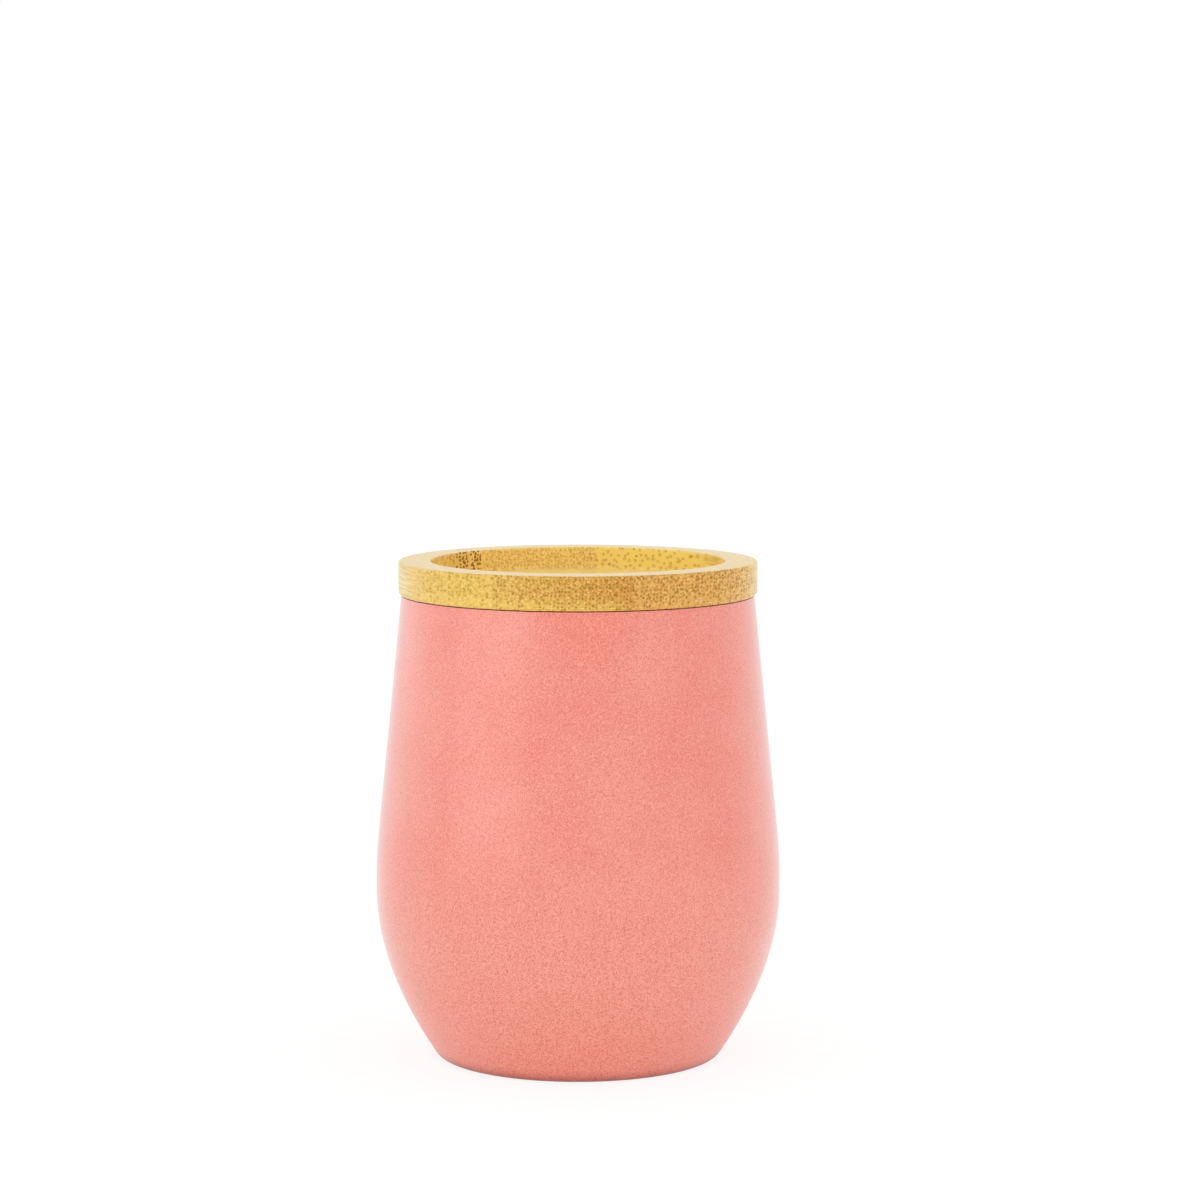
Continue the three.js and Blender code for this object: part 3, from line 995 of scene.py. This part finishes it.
def fine_dots(tree, wood, front_density, back_density):
    """Fine bundles, which crowd towards the top and are fainter at the back and where they are few."""
    density = mix(tree, wood.back, front_density, back_density)
    crowd = product(tree, density, between(tree, wood.high, *CROWD_RANGE, LEAST_CROWD, 1.0))
    front_depth = between(tree, front_density, SPARSE_DENSITY, 1.0, SPARSE_DEPTH, FRONT_DEPTH)
    depth = mix(tree, wood.back, front_depth, BACK_DEPTH)
    return product(tree, bundles(tree, wood.uneven_section, crowd, **FINE_BUNDLES), depth)


def coarse_dots(tree, wood):
    """Coarse mottled bundles at the right of the back."""
    mottle = between(tree, noise(tree, wood.section, **COARSE_MOTTLE), *MOTTLE_RANGE, *COARSE_DEPTHS)
    return product(tree, bundles(tree, wood.uneven_section, wood.coarse, **COARSE_BUNDLES), mottle)


def dark_dots(tree, wood):
    """Dark bundles on both sides of the left glue line at the back, clear of the line itself."""
    from_glue = calculate(tree, "SUBTRACT", wood.across, STRIP_EDGES[1] * MM)
    left = between(tree, from_glue, -DARK_LEFT * MM, -DARK_LEFT / 2 * MM)
    right = calculate(tree, "LESS_THAN", from_glue, DARK_RIGHT * MM)
    clear = between(tree, calculate(tree, "ABSOLUTE", from_glue), GLUE_LINE * MM, CLEAR_OF_GLUE * MM)
    shown = product(tree, wood.back, left, right, clear)
    return bundles(tree, wood.uneven_section, shown, **DARK_BUNDLES)


def grain_facing(tree):
    """How far a surface shows the fibres' ends, and how level it lies."""
    normal = along_fibres(tree, add(tree, "TexCoord").outputs["Normal"], "NORMAL")
    end_on, level = [calculate(tree, "ABSOLUTE", way) for way in split(tree, normal)[1:]]
    end_grain = between(tree, end_on, *END_GRAIN_RANGE)
    return end_grain, between(tree, level, *LEVEL_RANGE, 0.0, LEVEL_EVENNESS)


def end_grain_tone(tree, wood, strip):
    """A strip's end grain: pale pith low on the left, stains and flecks."""
    low = between(tree, wood.high, 0.0, PITH_TOP, PITH_SHARE, 0.0)
    left = between(tree, wood.across, PITH_END * MM, PITH_FULL * MM)
    ground = blend(tree, product(tree, low, left), strip, PITH_TONE)
    specks = noise(tree, wood.section, **PITH_SPECKS)
    dark = between(tree, specks, NOISE_MIDDLE, NOISE_LOW)
    pale = between(tree, specks, NOISE_MIDDLE, NOISE_HIGH)
    stained = blend(tree, product(tree, dark, mix(tree, wood.coarse, *STAIN_SHARES)), ground, STAIN_TONE)
    return blend(tree, product(tree, pale, mix(tree, wood.coarse, *FLECK_SHARES)), stained, FLECK_TONE)


def long_grain_tone(tree, wood, fibres, level):
    """The streaks of the upright sides, evened out on level faces."""
    streaked = blend(tree, between(tree, fibres, *STREAK_RANGE), LONG_STREAK_TONE, LONG_GRAIN_TONE)
    # The recess's floor takes the paler tone, painted light against the recess's shade
    level_tone = blend(tree, between(tree, wood.high, *RECESS_TO_TOP), RECESS_LIGHTENED_TONE, TOP_TONE)
    return blend(tree, level, streaked, level_tone)


def bamboo():
    """Laminated bamboo: vessel bundles as dots on the end grain, and streaks on the long grain."""
    material, tree, shader = new_material("bamboo")
    wood = place_in_wood(tree)
    strip, *densities = strips(tree, wood)
    stretch = (1 / FIBRE_WIDTH, 1 / FIBRE_STRETCH, 1)
    fibres = noise(tree, calculate_vector(tree, "MULTIPLY", wood.place, stretch), **FIBRES)
    end_grain, level = grain_facing(tree)
    fine = fine_dots(tree, wood, *densities)
    fine_or_coarse = calculate(tree, "MAXIMUM", fine, coarse_dots(tree, wood))
    all_dots = calculate(tree, "MAXIMUM", fine_or_coarse, dark_dots(tree, wood))
    dots = product(tree, all_dots, mix(tree, end_grain, LONG_GRAIN_DOTS, 1.0))
    long_tone = long_grain_tone(tree, wood, fibres, level)
    ground = blend(tree, end_grain, long_tone, end_grain_tone(tree, wood, strip))
    values = {
        "Base Color": blend(tree, dots, ground, BUNDLE_TONE),
        "Roughness": over_noise(tree, fibres, *BAMBOO_ROUGHNESS),
        "IOR": BAMBOO_IOR,
        "Specular IOR Level": between(tree, dots, 0.0, DULL_BUNDLE, *BAMBOO_SPECULAR),
        "Coat Weight": between(tree, dots, 0.0, DULL_BUNDLE, *BAMBOO_COAT),
        "Coat Roughness": BAMBOO_COAT_ROUGHNESS,
    }
    feed(tree, shader, values)
    bump(tree, shader, calculate(tree, "SUBTRACT", fibres, dots), BAMBOO_RELIEF)
    return material


# Stage: places and sizes in metres, power in watts, and the floor's drop in millimetres
WORLD_LIGHT = 0.9
FLOOR_SIZE = 6.0
FLOOR_DROP = 0.02
FLOOR_TONE = 0.98
FLOOR_GLOW = 0.84
FLOOR_SHADE = 0.2
LAMPS = [
    {"name": "key", "place": (-0.4, -0.85, 0.2), "size": 0.6, "power": 0.75, "mirrored": False},
    {"name": "fill", "place": (0.7, -0.6, 0.5), "size": 0.6, "power": 0.3, "mirrored": False},
    {"name": "card", "place": (-0.8, -0.55, 0.25), "size": 0.9, "power": 1.8, "mirrored": True},
    {"name": "edge_card", "place": (-0.95, 0.4, 0.2), "size": 1.0, "power": 1.2, "mirrored": True},
]

# The camera stands in front of the cup and looks down a little
CAMERA_PLACE = (0.00466, -0.780, 0.1761)
CAMERA_PITCH = 5.768
CAMERA_LENS = 110.9
CAMERA_SENSOR = 36.0


def white_share(tree):
    """One where the eye, a reflection or a clear piece sees the background, nought for other light."""
    path = add(tree, "LightPath").outputs
    seen = calculate(tree, "MAXIMUM", path["Is Camera Ray"], path["Is Glossy Ray"])
    return calculate(tree, "MAXIMUM", seen, path["Is Transmission Ray"])


def show_white(tree, output, lit, seen):
    """Shows one shader to the eye, reflections and clear pieces, and another to all other light."""
    shaders = {0: white_share(tree), 1: lit.outputs[0], 2: seen.outputs[0]}
    feed(tree, tree.nodes[output], {"Surface": add(tree, "MixShader", shaders).outputs[0]})


def studio_world():
    """White to the eye, and a plain level of soft light from all round."""
    world = bpy.data.worlds.new("studio")
    bpy.context.scene.world = world
    world.use_nodes = True
    world.cycles.sampling_method = "NONE"
    tree = world.node_tree
    light = tree.nodes["Background"]
    feed(tree, light, {"Color": WHITE, "Strength": WORLD_LIGHT})
    white = add(tree, "Background", {"Color": WHITE, "Strength": 1.0})
    show_white(tree, "World Output", light, white)


def pale_floor():
    """A wide floor that looks white and keeps a soft shadow."""
    half = FLOOR_SIZE / 2
    low = -FLOOR_DROP * MM
    points = [(-half, -half, low), (half, -half, low), (half, half, low), (-half, half, low)]
    floor = mesh_from("floor", points, [(0, 1, 2, 3)])
    material, tree, unused = new_material("floor")
    tree.nodes.remove(unused)
    plain = add(tree, "BsdfDiffuse", {"Color": grey(FLOOR_TONE)})
    glow = add(tree, "Emission", {"Color": WHITE, "Strength": FLOOR_GLOW})
    shade = add(tree, "BsdfDiffuse", {"Color": grey(FLOOR_SHADE)})
    glow_and_shade = add(tree, "AddShader", {0: glow.outputs[0], 1: shade.outputs[0]})
    show_white(tree, "Material Output", plain, glow_and_shade)
    material.cycles.emission_sampling = "NONE"
    floor.data.materials.append(material)


def softbox(name, place, size, power, mirrored):
    """A square lamp that faces the object: a card that only gloss shows, or light that gloss doesn't."""
    lamp = bpy.data.lights.new(name, "AREA")
    lamp.size = size
    lamp.energy = power
    holder = bpy.data.objects.new(name, lamp)
    holder.location = place
    holder.visible_diffuse = not mirrored
    holder.visible_glossy = mirrored
    aim = (cad_box[0] + cad_box[1]) / 2
    holder.rotation_euler = (aim - Vector(place)).to_track_quat("-Z", "Y").to_euler()
    bpy.context.scene.collection.objects.link(holder)


def front_camera():
    data = bpy.data.cameras.new("camera")
    data.lens = CAMERA_LENS
    data.sensor_width = CAMERA_SENSOR
    camera = bpy.data.objects.new("camera", data)
    camera.location = CAMERA_PLACE
    camera.rotation_euler = (math.pi / 2 - math.radians(CAMERA_PITCH), 0, 0)
    bpy.context.scene.collection.objects.link(camera)
    bpy.context.scene.camera = camera


# The whole scene


def dress(piece, material, rides_on, stands_for):
    """Finishes a piece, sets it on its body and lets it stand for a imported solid."""
    piece.data.materials.clear()
    piece.data.materials.append(material)
    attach(even_shading(piece), rides_on)
    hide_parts(stands_for)


def finish_node(name, material):
    """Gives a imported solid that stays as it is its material."""
    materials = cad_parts[name].data.materials
    materials.clear()
    materials.append(material)


bpy.context.scene.view_settings.view_transform = "Standard"
front_camera()
studio_world()
pale_floor()
for lamp in LAMPS:
    softbox(**lamp)

steel = turned_steel("steel", colour(218, 217, 214), roughness=0.32, metallic=0.9)
cup_steel = turned_steel("cup_steel", colour(222, 221, 217), roughness=0.42, metallic=0.5)
dress(coral_shell(), coral_coat(), "flask", "outer_shell")
dress(steel_liner(), cup_steel, "flask", "inner_liner")
dress(base_pan(), steel, "flask", "base_cover")
dress(bamboo_top(), bamboo(), "lid", "bamboo_lid")
dress(plug_body(), moulded_plastic(), "lid", "lid_plug")
dress(cover_disc(), steel, "lid", "plug_cover")
dress(gasket_ring(), milky_silicone(), "gasket", "lid_gasket")

finish_node("reflective_foil", bright_foil())
finish_node("sealing_bead", melted_glass())
finish_node("getter_pellet", sintered_getter())
for hidden in ("vacuum_bottom", "getter_cup", *SCREWS):
    finish_node(hidden, steel)
